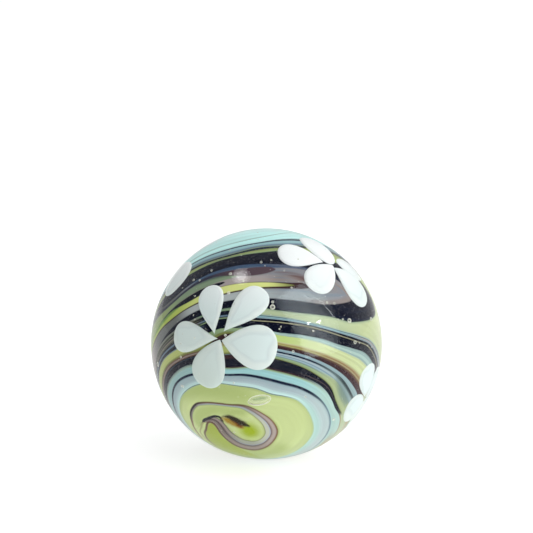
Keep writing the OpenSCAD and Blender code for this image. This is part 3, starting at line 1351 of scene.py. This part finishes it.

# ---- Floor, light and camera ----
# A pale floor under the ball, soft white light all round, a tall window on the right drawn by a row of
# lamps, and a long lens. The sky and the floor are dimmer in mirror reflections than in their own light,
# as with a polariser on the lens, so that the black glass stays black.

VIEW_HEIGHT = 15.0
AIM_HIGH = 2.25
CAMERA_RADII = 17.0
LENS = 132.5
FLOOR_SIZE = 6.0
FLOOR_PALE = 0.6
FLOOR_GLOW = 0.62
SKY_IN_FRONT = 0.35
SKY_BEHIND = 0.9
SKY_DEEPENS = (-0.7, 0.7)
SKY_LEFT = 0.72
SKY_LEFT_EDGE = (-0.95, -0.2)
SKY_MIRRORED = 0.7
FLOOR_MIRRORED = 0.5

floor_mesh = bpy.data.meshes.new("floor")
floor_mesh.from_pydata(
    [(x * FLOOR_SIZE, y * FLOOR_SIZE, ball_low.z) for x, y in ((-1, -1), (1, -1), (1, 1), (-1, 1))],
    [],
    [(0, 1, 2, 3)],
)
floor = bpy.data.objects.new("floor", floor_mesh)
bpy.context.scene.collection.objects.link(floor)
floor_paper, floor_tree = new_glass("floor_paper")
floor_glow = floor_tree.node(
    "ShaderNodeMapRange",
    None,
    {
        "Value": floor_tree.node("ShaderNodeLightPath", result="Is Glossy Ray"),
        "To Min": 1.0,
        "To Max": FLOOR_MIRRORED,
    },
)
paper = floor_tree.node(
    "ShaderNodeBsdfPrincipled",
    None,
    {
        "Base Color": (FLOOR_PALE, FLOOR_PALE, FLOOR_PALE, 1.0),
        "Roughness": 1.0,
        "Emission Color": floor_glow,
        "Emission Strength": FLOOR_GLOW,
    },
)
floor_tree.node("ShaderNodeOutputMaterial", None, {"Surface": paper})
floor_mesh.materials.append(floor_paper)

world = bpy.data.worlds.new("studio")
world.use_nodes = True
world_tree = Tree(world.node_tree)
sky_way = world_tree.node("ShaderNodeTexCoord", result="Generated")
split_sky = world_tree.node("ShaderNodeSeparateXYZ", None, {"Vector": sky_way}, "Y")
mirrored = world_tree.node("ShaderNodeLightPath", result="Is Glossy Ray")
sky_strength = smooth_step(split_sky, *SKY_DEEPENS, SKY_IN_FRONT, SKY_BEHIND)
sky_strength = sky_strength * smooth_step(split_sky.other("X"), *SKY_LEFT_EDGE, SKY_LEFT, 1.0)
sky_strength = sky_strength * smooth_step(mirrored, 0.0, 1.0, 1.0, SKY_MIRRORED)
sky_light = world_tree.node("ShaderNodeBackground", None, {"Color": COLOURLESS, "Strength": sky_strength})
world_tree.node("ShaderNodeOutputWorld", None, {"Surface": sky_light})
bpy.context.scene.world = world

LAMP_RADII = 30.0
DAYLIGHT = (0.88, 0.97, 1.0)


def softbox(name, azimuth, height, size, brightness, roll=0.0, nearer=0.0, shape="RECTANGLE"):
    """A flat lamp aimed at the ball, so many degrees right of the front and above the floor."""
    data = bpy.data.lights.new(name, "AREA")
    data.shape = shape
    data.size = size[0] * ball_radius
    data.size_y = size[1] * ball_radius
    data.energy = brightness * math.pi * data.size * data.size_y
    lamp = bpy.data.objects.new(name, data)
    bpy.context.scene.collection.objects.link(lamp)
    side, high = math.radians(azimuth), math.radians(height)
    way = Vector((math.sin(side) * math.cos(high), -math.cos(side) * math.cos(high), math.sin(high)))
    lamp.location = way * (LAMP_RADII - nearer) * ball_radius
    turned = way.to_track_quat("Z", "Y") @ Quaternion((0, 0, 1), math.radians(roll))
    lamp.rotation_euler = turned.to_euler()
    return lamp


key = softbox("key_light", 62, 45, (40, 40), 1.5)
key.visible_glossy = False
# The window and the glints: degrees to the right and above the floor, width and height in radii,
# brightness, roll in degrees and how much nearer than the key light each stands.
glints = [
    softbox("window", 58.7, 29.8, (24, 38), 1.6, -3.5),
    softbox("window_broad", 55.4, 30.2, (22, 37.5), 1.6, 0, 0.2),
    softbox("window_middle", 49.6, 31, (20, 37), 2.2, 6, 0.4),
    softbox("window_near", 45.5, 31.3, (16.5, 36.5), 2.0, 10, 0.6),
    softbox("window_left", 42.4, 31.6, (13, 36), 1.8, 14, 0.8),
    softbox("window_edge", 77.5, 34.2, (0.9, 10.8), 9.0, 9, 1.0),
    softbox("window_fold", 62.8, 49.2, (2.8, 0.8), 5.0, -69, 1.0),
    softbox("window_corner", 69.3, 46.4, (3.7, 0.8), 4.0, -8, 1.0),
    softbox("low_glint", 47.5, 28.5, (2.2, 1.0), 50.0, -7, 1.0, "ELLIPSE"),
    softbox("high_glint", 59.1, 26.9, (2.8, 1.2), 50.0, 4, 1.0, "ELLIPSE"),
    softbox("top_glow", -84, 70, (11, 8), 3.6, 0, 0, "ELLIPSE"),
    softbox("top_glow_ring", -84, 70, (8, 5.8), 5.0, 0, 0.5, "ELLIPSE"),
    softbox("top_glow_heart", -84, 70, (5, 3.8), 8.0, 0, 1.0, "ELLIPSE"),
]
for glint in glints:
    glint.visible_diffuse = False
    glint.visible_transmission = False
    if glint.name.startswith("window"):
        glint.data.color = DAYLIGHT

camera_data = bpy.data.cameras.new("camera")
camera_data.lens = LENS
camera_data.clip_start = ball_radius
camera_data.clip_end = FLOOR_SIZE * 2
camera = bpy.data.objects.new("camera", camera_data)
bpy.context.scene.collection.objects.link(camera)
view_height = math.radians(VIEW_HEIGHT)
aim_height = math.radians(VIEW_HEIGHT - AIM_HIGH)
camera.location = Vector((0, -math.cos(view_height), math.sin(view_height))) * CAMERA_RADII * ball_radius
look_back = Vector((0, -math.cos(aim_height), math.sin(aim_height)))
camera.rotation_euler = look_back.to_track_quat("Z", "Y").to_euler()
bpy.context.scene.camera = camera
bpy.context.scene.view_settings.view_transform = "Standard"
